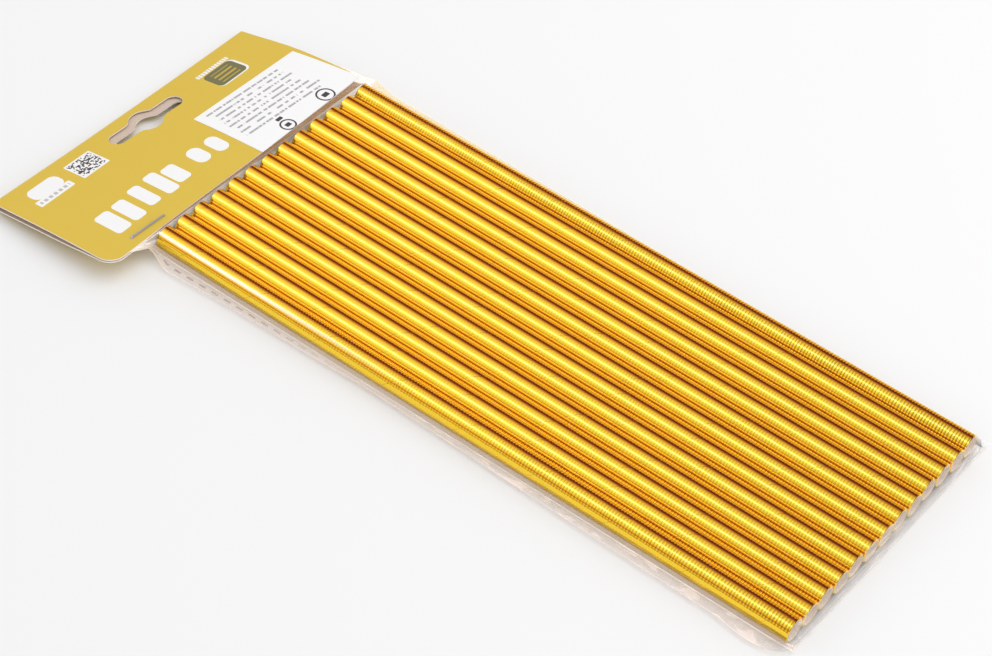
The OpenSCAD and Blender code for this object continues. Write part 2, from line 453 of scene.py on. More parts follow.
@dataclass(frozen=True)
class FilmFinish:
    """Clear film with painted light: it glows a little, painted highlights lie on its creases, weld roots and
    a band over the near straw, and painted shade and painted gold reflections lie on its near wall, its far
    side and its neck.

    Its UV map holds the place along and the way round in millimetres. The way is 0 along the top's middle, 2
    where the sides turn down, 6 where they meet the wall, 10 at a weld's root, 14 at its tip and 30 and more
    below, with a minus sign on the far side. Each alpha is what its part adds to the film's own. A step or a
    band is on the way, and a fade along the pack.
    """

    clear: Colour = (0.90, 0.80, 0.74, 1.0)
    # White of the painted highlights on the weld roots, the creases and the band over the near straw
    white: Colour = (1.0, 0.98, 0.96, 1.0)
    # Tan of the near wall: painted shade of the floor under it, warmed by painted gold reflection
    wall: Colour = (0.78, 0.62, 0.50, 1.0)
    # Orange line on the near wall: painted gold reflection
    painted_gold_line: Colour = (0.84, 0.56, 0.28, 1.0)
    mark: Colour = (0.42, 0.36, 0.32, 1.0)
    # Pale gold on the far side: painted reflection of the gold straws
    painted_gold_reflection: Colour = (0.86, 0.68, 0.30, 1.0)
    neck: Colour = (0.90, 0.80, 0.72, 1.0)
    # Dark brown in the neck between the card and the straw ends: painted shade, warmed by painted gold
    # reflection
    painted_shade: Colour = (0.30, 0.15, 0.05, 1.0)
    # Painted glow: the film also gives off its own colour, so that it reads paler than its lighting makes it
    painted_glow: float = 0.35
    film_alpha: float = 0.004
    most_alpha: float = 0.95
    above_step: Span = (20.0, 15.0)
    under_step: Span = (20.0, 28.0)
    under_alpha: float = 0.012
    near_step: Span = (-0.5, 0.5)
    wall_top: Span = (7.2, 7.6)
    wall_foot: Span = (10.1, 9.9)
    wall_alpha: float = 0.22
    painted_gold_line_band: Band = (8.25, 0.15, 0.2)
    painted_gold_line_alpha: float = 0.15
    flange_step: Span = (9.9, 10.1)
    flange_fade: Span = (99.0, 90.0)
    flange_alpha: float = 0.22
    # Denser, brighter patches on the flange, more of them towards the closed end: painted crumple highlights
    painted_glint_step: Span = (0.5, 0.62)
    painted_glint_fade: Span = (-70.0, 20.0)
    painted_glint_alpha: float = 0.2
    # The white line at each weld's root is a painted highlight
    root_band: Band = (10.05, 0.12, 0.12)
    root_alpha: float = 0.3
    edge_band: Band = (13.9, 0.12, 0.1)
    edge_alpha: float = 0.3
    mark_pitch: float = 4.1
    mark_width: Band = (0.5, 0.27, 0.12)
    mark_band: Band = (11.9, 0.4, 0.3)
    mark_fade: Span = (-30.0, -62.0)
    faint_mark: float = 0.25
    mark_alpha: float = 0.3
    painted_gold_reflection_step: Span = (-9.6, -9.9)
    painted_gold_reflection_fade: Span = (58.0, -20.0)
    painted_gold_reflection_alpha: float = 0.32
    straw_end: float = 97.6
    end_fade: float = 0.3
    line_band: Band = (0.5, 0.02, 0.03)
    past_alpha: float = 0.015
    past_line_alpha: float = 0.12
    neck_alpha: float = 0.13
    neck_line_alpha: float = 0.15
    painted_shade_near: Span = (2.4, 1.7)
    painted_shade_far: Span = (-5.6, -5.0)
    painted_shade_alpha: float = 0.35
    # Painted highlight: a white band over the near straw's top, strongest towards the card
    painted_gleam_band: Band = (3.6, 0.3, 0.35)
    painted_gleam_fade: Span = (-10.0, -80.0)
    painted_gleam_alpha: float = 0.42
    roughness: float = 0.12
    relief: float = 0.3
    relief_m: float = 0.0002

    def make(self) -> bpy.types.Material:
        """Returns the material."""
        made, kit = material("clear_film")
        x, way = kit.sheet()
        side = abs(way)
        above = side.step(*self.above_step)
        near = way.step(*self.near_step) * above
        # The near wall is tinted tan: painted shade with painted gold reflection
        wall = near * way.step(*self.wall_top) * way.step(*self.wall_foot)
        # A thin orange line on the near wall is a painted gold reflection
        painted_gold_line = way.band(*self.painted_gold_line_band)
        flange = near * way.step(*self.flange_step)
        root = near * way.band(*self.root_band)
        edge = side.band(*self.edge_band)
        marks = (x / self.mark_pitch).fraction().band(*self.mark_width) * way.band(*self.mark_band)
        marks = marks * (x.step(*self.mark_fade) * (1.0 - self.faint_mark) + self.faint_mark)
        # Patches on the flange: painted crumple highlights
        painted_glints = kit.grain(kit.vector(x * 0.16, way * 0.35), 1.0, 3.0).step(*self.painted_glint_step)
        painted_glints = painted_glints * x.step(*self.painted_glint_fade)
        # The far side is tinted pale gold: painted reflection of the straws
        painted_gold_reflection = way.step(*self.painted_gold_reflection_step) * above * x.step(*self.painted_gold_reflection_fade)
        past = x.step(self.straw_end, self.straw_end + self.end_fade)
        neck = x.step(-self.straw_end, -self.straw_end - self.end_fade)
        # Crease lines past the straws and in the neck, painted white below as highlights
        lines = kit.grain(kit.vector(x * 1.2, way * 0.5), 1.0, 3.0).band(*self.line_band)
        # A white band over the near straw: painted highlight
        painted_gleam = way.band(*self.painted_gleam_band) * x.step(*self.painted_gleam_fade) * (1.0 - neck)
        # The neck's top and far side darken to brown: painted shade
        painted_shade = way.step(*self.painted_shade_near) * way.step(*self.painted_shade_far)
        alpha = (
            wall * (painted_gold_line * self.painted_gold_line_alpha + self.wall_alpha)
            + flange * (painted_glints * self.painted_glint_alpha + self.flange_alpha) * x.step(*self.flange_fade)
            + root * self.root_alpha
            + marks * self.mark_alpha
            + edge * above * self.edge_alpha
            + painted_gold_reflection * self.painted_gold_reflection_alpha
            + past * (lines * self.past_line_alpha + self.past_alpha)
            + neck * (lines * self.neck_line_alpha + painted_shade * self.painted_shade_alpha + self.neck_alpha)
            + side.step(*self.under_step) * self.under_alpha
            + painted_gleam * self.painted_gleam_alpha
            + self.film_alpha
        )
        tint = kit.blend(wall, self.clear, self.wall)
        tint = kit.blend(wall * painted_gold_line, tint, self.painted_gold_line)
        tint = kit.blend(painted_gold_reflection, tint, self.painted_gold_reflection)
        tint = kit.blend(neck, tint, kit.blend(painted_shade, self.neck, self.painted_shade))
        # Weld roots, creases past the straws and in the neck, and the band over the near straw are whitened:
        # painted highlights
        tint = kit.blend(root | painted_gleam | (lines & (past | neck) & (1.0 - painted_shade)), tint, self.white)
        tint = kit.blend(marks, tint, self.mark)
        folds = kit.grain(kit.vector(x * 0.3, way * 0.6), 1.0, 3.0)
        kit.surface({
            "Base Color": tint,
            # The film's colour, painted highlights included, is also emitted: painted glow
            "Emission Color": tint,
            "Emission Strength": self.painted_glow,
            "Roughness": self.roughness,
            "Alpha": alpha & self.most_alpha,
            "Normal": kit.bump(folds, self.relief, self.relief_m),
        })
        return made


@dataclass(frozen=True)
class Block:
    """A rounded block of print on the card, by its middle and half sizes along and across."""

    u: float
    v: float
    half_u: float
    half_v: float
    corner: float = 0.6
    fade: float = 0.06

    def mask(self, u: Term, v: Term) -> Term:
        """Draws the block.

        Args:
            u: Place along the card.
            v: Depth from the open edge.

        Returns:
            1 inside the block.
        """
        du = abs(u - self.u) - (self.half_u - self.corner)
        dv = abs(v - self.v) - (self.half_v - self.corner)
        out_u = du | 0.0
        out_v = dv | 0.0
        outside = (out_u * out_u + out_v * out_v).math("SQRT")
        inside = (du | dv) & 0.0
        return (outside + inside).step(self.corner + self.fade, self.corner - self.fade)


@dataclass(frozen=True)
class Ring:
    """A thin ring of print, by its middle along and across and its radius."""

    u: float
    v: float
    radius: float
    half: float = 0.26
    fade: float = 0.12

    def mask(self, u: Term, v: Term) -> Term:
        """Draws the ring.

        Args:
            u: Place along the card.
            v: Depth from the open edge.

        Returns:
            1 on the ring.
        """
        du = u - self.u
        dv = v - self.v
        return (du * du + dv * dv).math("SQRT").band(self.radius, self.half, self.fade)


def print_mask(shapes: Sequence[Block | Ring], u: Term, v: Term) -> Term:
    """Draws several shapes of print.

    Args:
        shapes: The blocks and rings.
        u: Place along the card.
        v: Depth from the open edge.

    Returns:
        1 on any of them.
    """
    mask = shapes[0].mask(u, v)
    for shape in shapes[1:]:
        mask = mask | shape.mask(u, v)
    return mask


@dataclass(frozen=True)
class PrintedCardFinish:
    """Ochre coated card with plain blocks where such a card carries its print."""

    ochre: Colour = (0.78, 0.555, 0.07, 1.0)
    deep_ochre: Colour = (0.68, 0.47, 0.055, 1.0)
    white: Colour = (0.98, 0.98, 0.98, 1.0)
    olive: Colour = (0.19, 0.19, 0.09, 1.0)
    dark: Colour = (0.08, 0.08, 0.09, 1.0)
    # Pale tint along the fold: wear that shows the core, and a painted highlight on the fold's curve
    wear_and_highlight_tint: Colour = (0.86, 0.78, 0.62, 1.0)
    words: tuple[Block, ...] = (
        Block(-37.4, 11.0, 2.6, 4.6, 1.2), Block(-31.2, 11.1, 2.3, 4.6, 1.2),
        Block(-24.4, 12.0, 2.1, 4.6, 1.2), Block(-17.8, 12.0, 2.2, 5.0, 1.2),
        Block(-12.4, 11.7, 2.4, 3.8, 1.2), Block(-3.0, 12.1, 2.4, 3.4, 2.2), Block(3.6, 11.6, 2.2, 3.5, 2.0),
    )
    plate: Block = Block(-23.2, 33.0, 4.85, 3.9, 0.3)
    patch: Block = Block(-23.2, 33.0, 4.3, 3.3, 0.1)
    dome: Block = Block(-37.2, 34.5, 5.5, 2.6, 2.2)
    strip: Block = Block(-37.5, 30.8, 6.3, 1.3, 0.4)
    badge: Block = Block(30.0, 30.7, 5.7, 3.6, 1.6)
    badge_rim: Block = Block(30.4, 30.5, 6.1, 3.8, 1.9)
    line: Block = Block(30.0, 35.3, 6.4, 0.7, 0.3)
    front_end: Span = (41.4, 41.0)
    # How many dashes a millimetre has, and half the share of one
    line_dashes: Span = (0.9, 0.36)
    bar_dashes: Span = (0.55, 0.3)
    row_dashes: Span = (0.62, 0.2)
    bars_along: Band = (-37.5, 5.4, 0.2)
    bars_across: Band = (30.8, 0.55, 0.1)
    rows_along: Band = (30.0, 3.6, 0.3)
    rows_across: Band = (30.6, 2.4, 0.2)
    cells_per_mm: float = 2.2
    cell_step: Span = (0.5, 0.51)
    wear_and_highlight_band: Band = (41.2, 0.3, 0.5)
    wear_and_highlight_step: Span = (0.35, 0.6)
    mottle_share: float = 0.12
    bar_share: float = 0.5
    row_share: float = 0.7
    wear_and_highlight_share: float = 0.6
    roughness: float = 0.38
    roughness_spread: float = 0.12
    wave_height: float = 3.0
    relief: float = 0.25
    relief_m: float = 0.00008

    def make(self) -> bpy.types.Material:
        """Returns the material, on a UV map of depth and place along the unfolded sheet."""
        made, kit = material("printed_card")
        v, u = kit.sheet()
        flat = kit.vector(u, v)
        front = v.step(*self.front_end)
        white = self.line.mask(u, v) & u.dashes(*self.line_dashes)
        white = white | print_mask(self.words + (self.plate, self.dome, self.strip, self.badge_rim), u, v)
        cell = kit.vector((u * self.cells_per_mm).floor(), (v * self.cells_per_mm).floor(), 4.0)
        dark = kit.grain(cell, 1.7, 0.0).step(*self.cell_step) & self.patch.mask(u, v)
        bars = u.dashes(*self.bar_dashes) & v.band(*self.bars_across) & u.band(*self.bars_along)
        badge = self.badge.mask(u, v)
        rows = v.dashes(*self.row_dashes) & u.band(*self.rows_along) & v.band(*self.rows_across)
        base = kit.blend(kit.grain(flat, 0.08, 3.0) * self.mottle_share, self.ochre, self.deep_ochre)
        base = kit.blend(white & front, base, self.white)
        base = kit.blend(dark & front, base, self.dark)
        base = kit.blend((bars & front) * self.bar_share, base, self.olive)
        base = kit.blend(badge & front, base, self.olive)
        base = kit.blend((rows & badge) * self.row_share, base, self.ochre)
        # Pale blotches along the fold: wear, and a painted highlight on the fold's curve
        wear_and_highlight = v.band(*self.wear_and_highlight_band) * kit.grain(kit.vector(u, v * 2.0), 1.5, 3.0).step(*self.wear_and_highlight_step)
        base = kit.blend(wear_and_highlight * self.wear_and_highlight_share, base, self.wear_and_highlight_tint)
        tooth = kit.grain(flat, 3.0, 4.0)
        waves = kit.grain(flat, 0.12) * self.wave_height
        kit.surface({
            "Base Color": base,
            "Roughness": tooth * self.roughness_spread + self.roughness,
            "Normal": kit.bump(tooth + waves, self.relief, self.relief_m),
        })
        return made


@dataclass(frozen=True)
class LabelFinish:
    """White sticker with rows of grey bars and two plain rings."""

    white: Colour = (0.99, 0.99, 0.99, 1.0)
    ink: Colour = (0.06, 0.06, 0.07, 1.0)
    row_pitch: float = 1.98
    row_slant: float = 0.06
    slant_about: float = 29.5
    first_row: float = 5.45
    row_width: Band = (0.5, 0.17, 0.1)
    rows_across: Band = (13.37, 7.9, 0.1)
    row_start: Span = (11.0, 11.4)
    row_end: Span = (-0.2, 0.2)
    reach: float = 29.0
    reach_spread: float = 22.0
    word_step: Span = (0.42, 0.47)
    stroke_step: Span = (0.3, 0.6)
    faint_ink: float = 0.28
    stroke_ink: float = 0.45
    marks: tuple[Block | Ring, ...] = (
        Ring(37.8, 2.3, 2.5), Ring(21.4, 1.9, 2.1), Block(37.8, 2.3, 1.1, 0.8, 0.2),
        Block(21.4, 1.9, 0.9, 0.7, 0.2), Block(21.8, 5.3, 1.1, 0.6, 0.1),
    )
    roughness: float = 0.45
    roughness_spread: float = 0.1
    relief: float = 0.2
    relief_m: float = 0.00005

    def make(self) -> bpy.types.Material:
        """Returns the material, on a UV map of depth and place along the card."""
        made, kit = material("label_paper")
        v, u = kit.sheet()
        level = v + (u - self.slant_about) * self.row_slant
        row = (level - self.first_row) / self.row_pitch
        reach = kit.grain(kit.vector(row.floor() * 5.3, 2.0), 1.0, 0.0) * self.reach_spread + self.reach
        rows = row.fraction().band(*self.row_width) & level.band(*self.rows_across)
        rows = rows & u.step(*self.row_start) & (reach - u).step(*self.row_end)
        words = kit.grain(kit.vector(u, row.floor() * 7.3), 0.9, 1.0).step(*self.word_step)
        strokes = kit.grain(kit.vector(u * 2.0, v * 2.0), 2.2, 1.0).step(*self.stroke_step)
        ink = (rows & words) * (strokes * self.stroke_ink + self.faint_ink) | print_mask(self.marks, u, v)
        tooth = kit.grain(kit.vector(u, v), 3.0, 4.0)
        kit.surface({
            "Base Color": kit.blend(ink, self.white, self.ink),
            "Roughness": tooth * self.roughness_spread + self.roughness,
            "Normal": kit.bump(tooth, self.relief, self.relief_m),
        })
        return made


@dataclass(frozen=True)
class WireFinish:
    """Bright drawn wire of the staple."""

    bright: Colour = (0.60, 0.61, 0.64, 1.0)
    dull: Colour = (0.45, 0.46, 0.49, 1.0)
    dull_share: float = 0.4
    line_scale: float = 3000.0
    metallic: float = 0.6
    roughness: float = 0.4
    roughness_spread: float = 0.15

    def make(self) -> bpy.types.Material:
        """Returns the material, with drawing lines in Object coordinates."""
        made, kit = material("staple_wire")
        lines = kit.grain(kit.place(), self.line_scale, 3.0)
        kit.surface({
            "Base Color": kit.blend(lines * self.dull_share, self.bright, self.dull),
            "Metallic": self.metallic,
            "Roughness": lines * self.roughness_spread + self.roughness,
        })
        return made


def finish_piece(
    mesh: bmesh.types.BMesh, name: str, materials: Sequence[bpy.types.Material],
    nodes: Sequence[str],
) -> bpy.types.Object:
    """Makes an object of a mesh drawn in millimetres and ties it to the frame.

    Args:
        mesh: The mesh, which is freed.
        name: Name of the piece.
        materials: Its materials in slot order.
        nodes: CAD nodes that it stands for.

    Returns:
        The object.
    """
    bmesh.ops.scale(mesh, vec=(MM, MM, MM), verts=mesh.verts[:])
    data = bpy.data.meshes.new(name)
    mesh.to_mesh(data)
    mesh.free()
    for made in materials:
        data.materials.append(made)
    data.shade_smooth()
    data.set_sharp_from_angle(angle=SHARP_ANGLE)
    piece = bpy.data.objects.new(name, data)
    bpy.context.scene.collection.objects.link(piece)
    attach(piece, Body.PACK.value)
    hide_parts(*nodes)
    LOG.info("%s: %d faces", name, len(data.polygons))
    return piece


def sweep(mesh: bmesh.types.BMesh, rings: Sequence[Sequence[Vector]]) -> dict[bmesh.types.BMVert, int]:
    """Extrudes a closed loop from ring to ring.

    Args:
        mesh: An empty mesh.
        rings: The loops, all with as many points.

    Returns:
        For each vertex its place in its ring.
    """
    ring = list(bmesh.ops.create_circle(mesh, segments=len(rings[0]), radius=1.0)["verts"])
    edges = mesh.edges[:]
    placed = {}
    for number, points in enumerate(rings):
        if number:
            order = {vert: i for i, vert in enumerate(ring)}
            made = bmesh.ops.extrude_edge_only(mesh, edges=edges)["geom"]
            fresh = {}
            for vert in (item for item in made if isinstance(item, bmesh.types.BMVert)):
                before = next(e.other_vert(vert) for e in vert.link_edges if e.other_vert(vert) in order)
                fresh[order[before]] = vert
            ring = [fresh[i] for i in range(len(ring))]
            edges = [mesh.edges.get((a, b)) for a, b in zip(ring, ring[1:] + ring[:1])]
        for i, (vert, point) in enumerate(zip(ring, points)):
            vert.co = point
            placed[vert] = i
    return placed


@dataclass
class StrawLayer:
    """The layer of straws, each wound from paper and faced with foil."""

    count: int = 13
    diameter: float = 6.5
    wall: float = 0.45
    rim: float = 0.12
    segments: int = 96
    merge: float = 0.001
    # Share of the wall, from its outside, that is faced with foil
    foil_share: float = 0.8
    # How much further each winding is turned, and where the turns start again
    turn_step: float = 7.3
    turn_range: float = 20.0
    foil: FoilFinish = FoilFinish()
    near_foil: FoilFinish = FoilFinish(
        smooth_to=-110.0, ribbed_from=-20.0, rib_depth=1.6, name="ribbed_foil",
    )
    far_foil: FoilFinish = FoilFinish(
        smooth_to=-160.0, ribbed_from=-110.0, rib_depth=2.2, name="hatched_foil",
    )
    paper: PaperFinish = PaperFinish("straw_paper", (0.92, 0.79, 0.68, 1.0), (0.97, 0.88, 0.80, 1.0))

    def profile(self, mesh: bmesh.types.BMesh, start: float, end: float) -> list[bmesh.types.BMEdge]:
        """Draws the wall's section with softened rims.

        Args:
            mesh: Where it is drawn.
            start: Where the straw starts.
            end: Where it ends.

        Returns:
            The section's edges.
        """
        outer = self.diameter / 2
        inner = outer - self.wall
        corners = [
            (start, inner), (start, outer - self.rim), (start + self.rim, outer),
            (end - self.rim, outer), (end, outer - self.rim), (end, inner),
        ]
        verts = [mesh.verts.new((x, 0.0, r)) for x, r in corners]
        return [mesh.edges.new((a, b)) for a, b in zip(verts, verts[1:] + verts[:1])]

    def wrap(self, mesh: bmesh.types.BMesh, turn: float) -> None:
        """Gives the tube a UV map of the way round and the way along, in metres, and its materials.

        Args:
            mesh: The tube, about the X axis.
            turn: How far the winding is turned, in millimetres round.
        """
        layer = mesh.loops.layers.uv.new("sheet")
        radius = self.diameter / 2
        for face in mesh.faces:
            middle = face.calc_center_median()
            at = math.atan2(middle.z, middle.y)
            for loop in face.loops:
                angle = math.atan2(loop.vert.co.z, loop.vert.co.y)
                angle += math.tau * round((at - angle) / math.tau)
                loop[layer].uv = ((angle * radius + turn) * MM, loop.vert.co.x * MM)
            foil = math.hypot(middle.y, middle.z) > radius - self.wall * self.foil_share
            face.material_index = 0 if foil else 1

    def straw(self, index: int, materials: Sequence[bpy.types.Material]) -> bpy.types.Object:
        """Makes one straw where its CAD node is.

        Args:
            index: Its place, from the near side.
            materials: Foil and paper.

        Returns:
            The straw.
        """
        node = f"straw_{index + 1:02d}"
        low, high = (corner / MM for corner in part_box(node))
        mesh = bmesh.new()
        edges = self.profile(mesh, low.x, high.x)
        bmesh.ops.spin(
            mesh, geom=mesh.verts[:] + edges, cent=(0, 0, 0), axis=(1, 0, 0), angle=math.tau,
            steps=self.segments, use_merge=True,
        )
        bmesh.ops.remove_doubles(mesh, verts=mesh.verts[:], dist=self.merge)
        bmesh.ops.recalc_face_normals(mesh, faces=mesh.faces[:])
        self.wrap(mesh, self.turn_step * index * index % self.turn_range)
        middle = (low + high) / 2
        bmesh.ops.translate(mesh, vec=(0.0, middle.y, middle.z), verts=mesh.verts[:])
        return finish_piece(mesh, f"foil_straw_{index + 1:02d}", materials, [node])

    def build(self) -> list[bpy.types.Object]:
        """Returns all straws."""
        foil, near_foil, far_foil = (finish.make() for finish in (self.foil, self.near_foil, self.far_foil))
        paper = self.paper.make()
        foils = [near_foil] + [foil] * (self.count - 2) + [far_foil]
        return [self.straw(i, [face, paper]) for i, face in enumerate(foils)]


@dataclass
class HeaderCard:
    """One sheet of card folded over the mouth of the bag, with its sticker."""

    edge: Vector = field(default_factory=lambda: Vector((-99.27, -8.3, 6.4)))
    edge_drop: float = 5.04
    yaw: float = 1.7
    length: float = 100.0
    depth: float = 41.0
    thick: float = 0.35
    gap_open: float = 0.24
    gap_fold: float = 0.44
    corner: float = 4.5
    arc_steps: int = 8
    slot_length: float = 26.6
    slot_height: float = 5.0
    slot_round: float = 9.4
    slot_blend: float = 3.0
    slot_at: Point = (33.8, 1.0)
    slot_turn: float = 1.2
    slot_slip: float = 2.5
    # Where the flat sheet is cut so that it can bend: over its fold, on each panel and towards each end
    fold_steps: int = 12
    cut_pitch: float = 5.0
    panel_cuts: int = 7
    end_cuts: int = 9
    cut_merge: float = 0.0005
    label_corners: tuple[Point, ...] = ((-0.3, 8.1), (23.4, 8.25), (0.0, 49.9), (22.0, 48.3))
    label_thick: float = 0.1
    label_cells: tuple[int, int] = (8, 12)
    arch: float = 0.7
    near_lift: float = 1.6
    far_lift: float = 0.4
    near_gape: float = 0.9
    gape_along: Span = (15.0, 50.0)
    gape_depth: Span = (2.0, 20.0)
    # How far the open edges run out at the far side, and the far end runs in at the fold
    edge_slant: float = 0.6
    edge_slant_along: Span = (-30.0, 10.0)
    end_slant: float = 1.2
    end_slant_along: Span = (30.0, 50.0)
    end_slant_depth: Span = (20.0, 41.0)
    core: PaperFinish = PaperFinish("card_core", (0.92, 0.82, 0.74, 1.0), (0.96, 0.89, 0.83, 1.0))
    inside: PaperFinish = PaperFinish("card_inside", (0.66, 0.52, 0.42, 1.0), (0.72, 0.58, 0.48, 1.0))
    label_edge: PaperFinish = PaperFinish("label_edge", (0.88, 0.87, 0.85, 1.0), (0.94, 0.93, 0.92, 1.0))

    def __post_init__(self) -> None:
        """Works out the card's frame."""
        turn_y = Matrix.Rotation(-math.asin(self.edge_drop / self.depth), 3, "Y")
        self.turn = turn_y @ Matrix.Rotation(math.radians(self.yaw), 3, "Z")
        self.fold_r = (2 * self.thick + self.gap_fold) / 2
        self.fold_v = self.depth - self.fold_r
        self.sheet_length = 2 * self.fold_v + math.pi * self.fold_r

    def point(self, v: float, u: float, n: float) -> Vector:
        """Returns a point of the card's frame, with the slight arch and twist of the real card.

        Args:
            v: Depth from the open edges.
            u: Place along the card.
            n: Height above the front panel.

        Returns:
            The point in the row frame.
        """
        near = max(0.0, 0.5 - u / self.length)
        depth = min(1.0, max(0.0, v / self.depth))
        lift = self.arch * math.sin(math.pi * depth) + self.near_lift * (depth * near) ** 2
        lift += self.far_lift * (1.0 - near) * (1.0 - depth)
        v -= self.edge_slant * ease(u, *self.edge_slant_along) * (1.0 - depth)
        u -= self.end_slant * ease(v, *self.end_slant_depth) * ease(u, *self.end_slant_along)
        return self.edge + self.turn @ Vector((-v, u, n + lift))

    def folded(self, s: float, u: float, w: float) -> Vector:
        """Returns where a point of the flat sheet lies once folded.

        Args:
            s: Distance from the front panel's open edge, over the fold.
            u: Place along the card.
            w: Depth below the sheet's outer side.

        Returns:
            The point in the row frame.
        """
        near = ease(-u, *self.gape_along)
        radius = self.fold_r + near * self.near_gape / 2
        if s <= self.fold_v:
            return self.point(s, u, -w)
        over = s - self.fold_v
        if over < math.pi * self.fold_r:
            angle = over / self.fold_r
            r = radius - w
            return self.point(self.fold_v + r * math.sin(angle), u, -radius + r * math.cos(angle))
        v = self.fold_v - (over - math.pi * self.fold_r)
        stack = mix(2 * self.thick + self.gap_open, 2 * self.fold_r, v / self.fold_v)
        gape = near * self.near_gape * ease(v, *self.gape_depth)
        return self.point(v, u, -stack - gape + w)

    def slot_outline(self) -> list[Point]:
        """Returns the slot's outline about its middle, as places along and across."""
        arm = self.slot_height / 2
        reach = self.slot_length / 2 - arm
        big = self.slot_round / 2
        up = arm + self.slot_blend
        out = math.sqrt((big + self.slot_blend) ** 2 - up ** 2)
        meets = math.atan2(up, out)

        def arc(cu: float, cv: float, r: float, start: float, end: float) -> list[Point]:
            """Returns points on an arc."""
            angles = [mix(start, end, i / self.arc_steps) for i in range(self.arc_steps + 1)]
            return [(cu + r * math.cos(a), cv + r * math.sin(a)) for a in angles]

        quarter = arc(reach, 0.0, arm, 0.0, math.pi / 2)
        quarter += arc(out, up, self.slot_blend, 1.5 * math.pi, math.pi + meets)
        quarter += arc(0.0, 0.0, big, meets, math.pi / 2)[1:]
        outline = quarter + [(-a, b) for a, b in quarter[-2::-1]]
        outline += [(-a, -b) for a, b in quarter[1:]] + [(a, -b) for a, b in quarter[-2:0:-1]]
        return outline

    def sheet_outline(self) -> list[Point]:
        """Returns the flat sheet's outline with its four rounded corners, as distance and place along."""
        half = self.length / 2
        end = self.sheet_length
        r = self.corner
        corners = [
            (r, half - r, 90.0), (r, -half + r, 180.0), (end - r, -half + r, 270.0), (end - r, half - r, 0.0),
        ]
        outline = []
        for s, u, start in corners:
            for i in range(self.arc_steps + 1):
                angle = math.radians(start + 90.0 * i / self.arc_steps)
                outline.append((s + r * math.cos(angle), u + r * math.sin(angle)))
        return outline

    def draw_loop(self, mesh: bmesh.types.BMesh, outline: Iterable[Point]) -> list[bmesh.types.BMEdge]:
        """Draws a closed outline.

        Args:
            mesh: Where it is drawn.
            outline: Its points.

        Returns:
            Its edges.
        """
        verts = [mesh.verts.new((s, u, 0.0)) for s, u in outline]
        return [mesh.edges.new((a, b)) for a, b in zip(verts, verts[1:] + verts[:1])]

    def cut_lines(self, mesh: bmesh.types.BMesh, cuts: Iterable[tuple[Vector, Vector]]) -> None:
        """Cuts a flat mesh along lines, so that it can bend there.

        Args:
            mesh: The flat mesh.
            cuts: A point and a direction across each line.
        """
        for point, across in cuts:
            geometry = mesh.verts[:] + mesh.edges[:] + mesh.faces[:]
            bmesh.ops.bisect_plane(
                mesh, geom=geometry, dist=self.cut_merge, plane_co=point, plane_no=across,
            )

    def thicken(self, mesh: bmesh.types.BMesh, depth: float) -> None:
        """Gives a flat mesh its thickness downwards, its UV map, material 1 on its sides and 2 below.

        Args:
            mesh: The flat mesh, its faces upwards.
            depth: Thickness.
        """
        made = bmesh.ops.extrude_face_region(mesh, geom=mesh.faces[:])["geom"]
        below = [item for item in made if isinstance(item, bmesh.types.BMVert)]
        bmesh.ops.translate(mesh, vec=(0.0, 0.0, -depth), verts=below)
        bmesh.ops.recalc_face_normals(mesh, faces=mesh.faces[:])
        layer = mesh.loops.layers.uv.new("sheet")
        for face in mesh.faces:
            face.material_index = 0 if face.normal.z > 0.5 else 2 if face.normal.z < -0.5 else 1
            for loop in face.loops:
                loop[layer].uv = (loop.vert.co.x * MM, loop.vert.co.y * MM)

    def card(self) -> bpy.types.Object:
        """Returns the folded card."""
        mesh = bmesh.new()
        edges = self.draw_loop(mesh, self.sheet_outline())
        depth, along = self.slot_at
        for middle, sign in ((depth, -1.0), (self.sheet_length - depth + self.slot_slip, 1.0)):
            slope = sign * math.tan(math.radians(self.slot_turn))
            outline = [(middle + b + a * slope, along + a) for a, b in self.slot_outline()]
            edges += self.draw_loop(mesh, outline)
        bmesh.ops.triangle_fill(mesh, use_beauty=True, use_dissolve=False, edges=edges)
        bmesh.ops.recalc_face_normals(mesh, faces=mesh.faces[:])
        if sum(face.normal.z for face in mesh.faces) < 0:
            bmesh.ops.reverse_faces(mesh, faces=mesh.faces[:])
        steps = self.fold_steps
        bends = [self.fold_v + math.pi * self.fold_r * i / steps for i in range(steps + 1)]
        panels = [self.cut_pitch * i for i in range(1, self.panel_cuts + 1)]
        over = sorted(bends + panels + [self.sheet_length - s for s in panels])
        ends = [self.cut_pitch * i for i in range(-self.end_cuts, self.end_cuts + 1)]
        cuts = [(Vector((s, 0.0, 0.0)), Vector((1.0, 0.0, 0.0))) for s in over]
        cuts += [(Vector((0.0, u, 0.0)), Vector((0.0, 1.0, 0.0))) for u in ends]
        self.cut_lines(mesh, cuts)
        self.thicken(mesh, self.thick)
        for vert in mesh.verts:
            vert.co = self.folded(vert.co.x, vert.co.y, -vert.co.z)
        materials = [PrintedCardFinish().make(), self.core.make(), self.inside.make()]
        return finish_piece(mesh, "folded_card", materials, ["header_card"])

    def label(self) -> bpy.types.Object:
        """Returns the sticker on the front panel."""
        a, b, c, d = (Vector(corner) for corner in self.label_corners)
        mesh = bmesh.new()
        rows, columns = self.label_cells
        bmesh.ops.create_grid(mesh, x_segments=rows, y_segments=columns, size=0.5)
        for vert in mesh.verts:
            down, along = vert.co.x + 0.5, vert.co.y + 0.5
            vert.co = a.lerp(b, down).lerp(c.lerp(d, down), along).to_3d()
        self.thicken(mesh, self.label_thick)
        for vert in mesh.verts:
            vert.co = self.point(vert.co.x, vert.co.y, vert.co.z + self.label_thick)
        face, edge = LabelFinish().make(), self.label_edge.make()
        return finish_piece(mesh, "paper_label", [face, edge, edge], ["sticker_label"])

    def build(self) -> list[bpy.types.Object]:
        """Returns the card and its sticker."""
        return [self.card(), self.label()]


